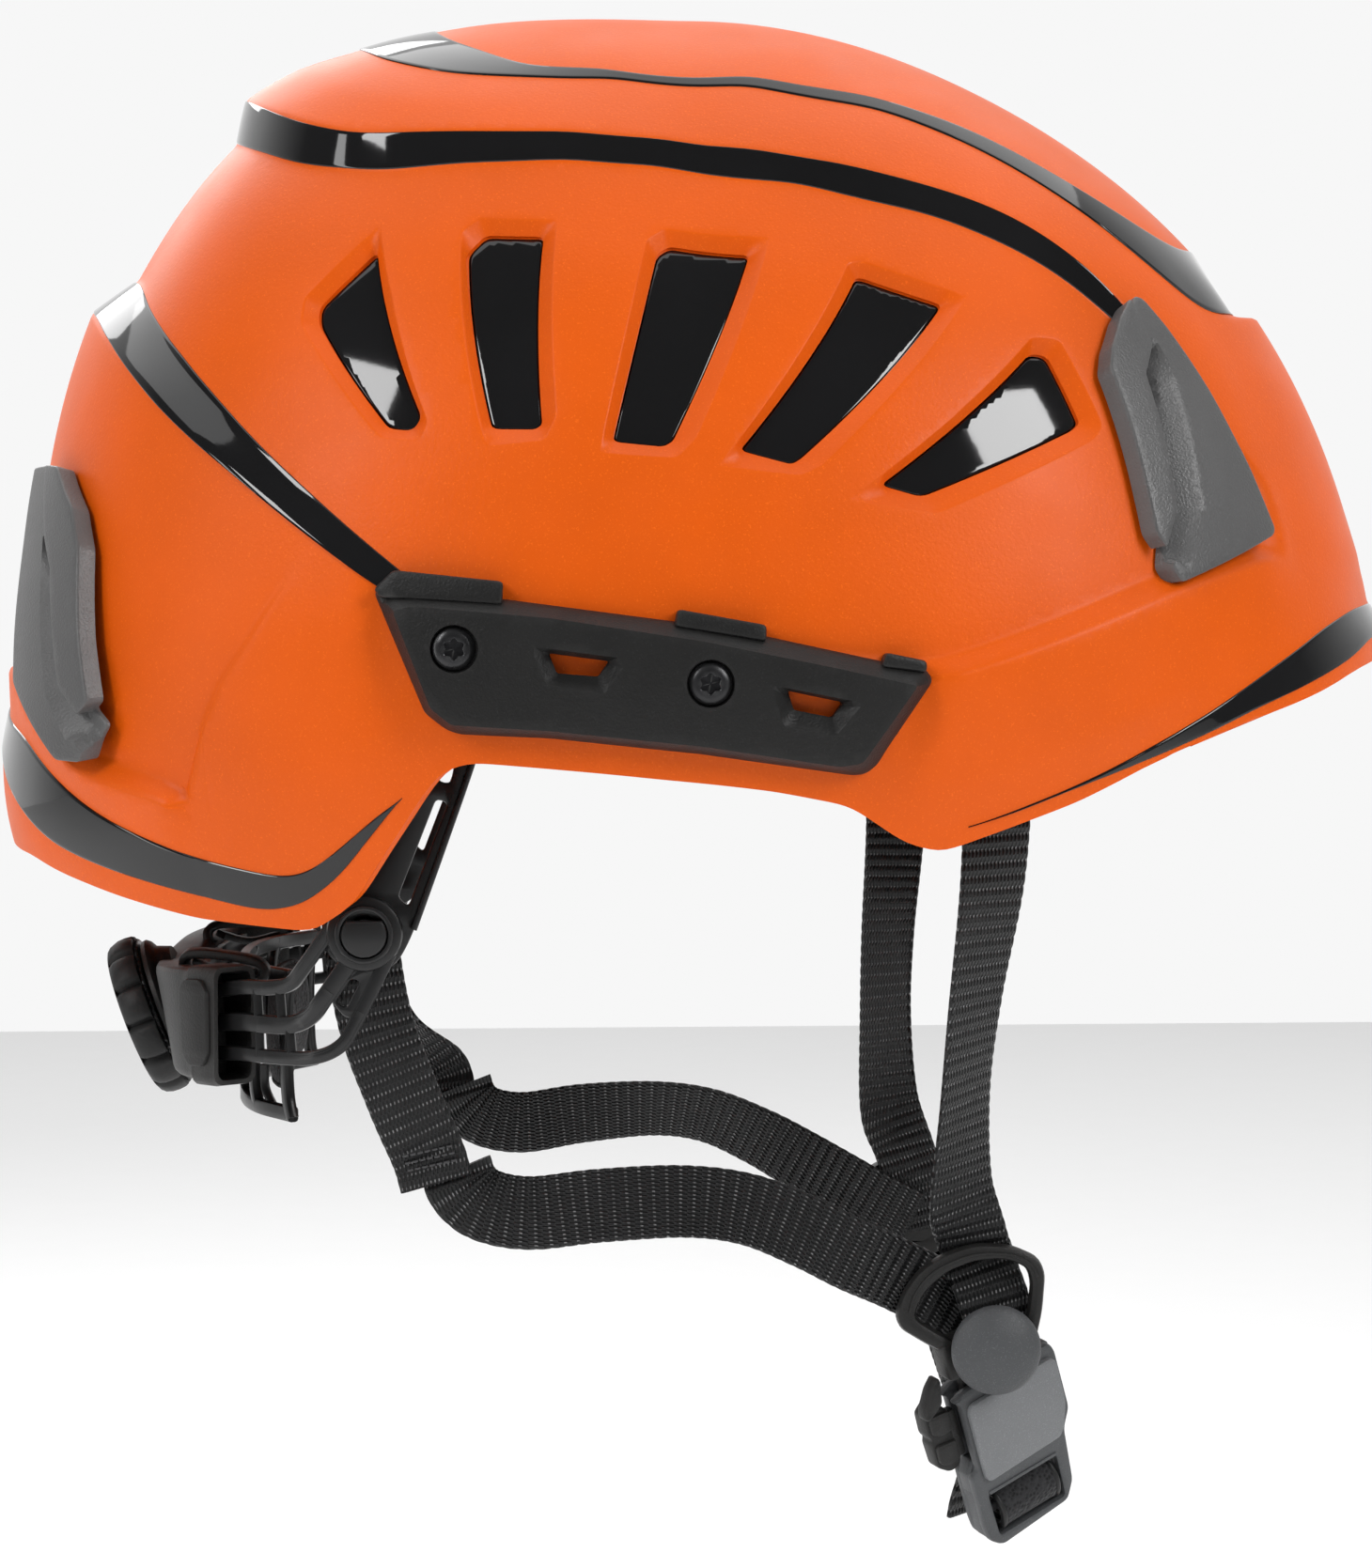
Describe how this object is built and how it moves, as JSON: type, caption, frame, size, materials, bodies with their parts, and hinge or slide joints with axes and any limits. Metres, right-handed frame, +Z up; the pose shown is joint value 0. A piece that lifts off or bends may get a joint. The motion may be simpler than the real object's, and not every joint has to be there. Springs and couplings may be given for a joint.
{
  "type": "arborist helmet",
  "caption": "Climbing helmet with moulded shell, foam liner, accessory rails, lamp clips, turn-knob nape adjuster and buckled chin strap.",
  "frame": {"origin": "middle of the head seat, inside the liner, on the helmet's middle plane", "axes": "+X towards the wearer's front, +Y towards the wearer's left, +Z up"},
  "size_m": [0.3014, 0.222, 0.3245],
  "materials": {
    "shell_plastic": "moulded ABS, satin gloss with a fine pearl",
    "gloss_trim": "polished black",
    "foam": "moulded expanded foam, beaded",
    "padding": "knitted cover over soft foam",
    "satin_nylon": "satin moulded nylon",
    "matt_plastic": "fine spark-eroded texture",
    "webbing": "ribbed narrow webbing",
    "rubber_grip": "soft matt grip",
    "dark_steel": "blackened"
  },
  "bodies": {
    "helmet": {"outer_shell": "shell_plastic", "crown_band": "gloss_trim", "top_stripe": "gloss_trim", "rear_chevron": "gloss_trim", "rear_brim_stripe": "gloss_trim", "front_brim_stripe": "gloss_trim", "vent_insert_right": "gloss_trim", "vent_insert_left": "gloss_trim", "foam_liner": "foam", "crown_pad": "padding", "forehead_band": "satin_nylon", "forehead_pad": "padding", "accessory_rail_right": "matt_plastic", "accessory_rail_left": "matt_plastic", "rail_screw_rear_right": "dark_steel", "rail_screw_rear_left": "dark_steel", "rail_screw_front_right": "dark_steel", "rail_screw_front_left": "dark_steel", "front_lamp_clip_right": "matt_plastic", "front_lamp_clip_left": "matt_plastic", "rear_lamp_clip_right": "matt_plastic", "rear_lamp_clip_left": "matt_plastic", "side_hanger_right": "satin_nylon", "side_hanger_left": "satin_nylon", "pivot_stud_right": "satin_nylon", "pivot_stud_left": "satin_nylon", "rear_strap_right": "webbing", "rear_strap_left": "webbing", "jaw_strap_right": "webbing", "jaw_strap_left": "webbing", "front_strap_right": "webbing", "front_strap_left": "webbing", "rear_strap_anchor_right": "satin_nylon", "rear_strap_anchor_left": "satin_nylon", "front_strap_anchor_right": "satin_nylon", "front_strap_anchor_left": "satin_nylon", "divider_right": "matt_plastic", "divider_left": "matt_plastic", "chin_loop": "webbing"},
    "nape": {"nape_arm_right": "satin_nylon", "nape_arm_left": "satin_nylon"},
    "nape_adjuster": {"nape_housing": "matt_plastic", "nape_cover": "satin_nylon", "nape_frame": "satin_nylon", "nape_pad": "padding"},
    "knob": {"knob_core": "satin_nylon", "knob_grip": "rubber_grip", "knob_screw": "dark_steel", "knob_pinion": "satin_nylon"},
    "buckle": {"buckle_body": "matt_plastic", "chin_webbing": "webbing"},
    "release_button": {"buckle_release": "matt_plastic"},
    "right_clamp": {"clamp_cap_right": "matt_plastic"},
    "left_clamp": {"clamp_cap_left": "matt_plastic"}
  },
  "joints": [
    {"name": "nape_tilt", "type": "hinge", "parent": "helmet", "child": "nape", "pos_m": [-0.0678, 0, -0.025], "axis": [0, 1, 0], "range_deg": [-10, 10]},
    {"name": "nape_slide", "type": "slide", "parent": "nape", "child": "nape_adjuster", "axis": [1, 0, 0], "range_m": [-0.003, 0.0012]},
    {"name": "knob_turn", "type": "hinge", "parent": "nape_adjuster", "child": "knob", "pos_m": [-0.1124, 0, -0.0482], "axis": [-0.9336, 0, -0.3584], "range_deg": [-41.5, 41.5]},
    {"name": "buckle_slide", "type": "slide", "parent": "helmet", "child": "buckle", "axis": [0.2727, 0.2684, -0.9239], "range_m": [0, 0.022]},
    {"name": "button_press", "type": "slide", "parent": "buckle", "child": "release_button", "axis": [0.8462, 0.3901, 0.3631], "range_m": [0, 0.0015], "stiffness_N_per_m": 400, "springref_m": -0.001},
    {"name": "right_clamp_lift", "type": "hinge", "parent": "helmet", "child": "right_clamp", "pos_m": [0.0601, -0.061, -0.1218], "axis": [1, 0, 0], "range_deg": [0, 50]},
    {"name": "left_clamp_lift", "type": "hinge", "parent": "helmet", "child": "left_clamp", "pos_m": [0.0601, 0.061, -0.1218], "axis": [-1, 0, 0], "range_deg": [0, 50]}
  ],
  "couplings": [
    {"joint": "knob_turn", "follows": "nape_slide", "rad_per_m": 238}
  ]
}
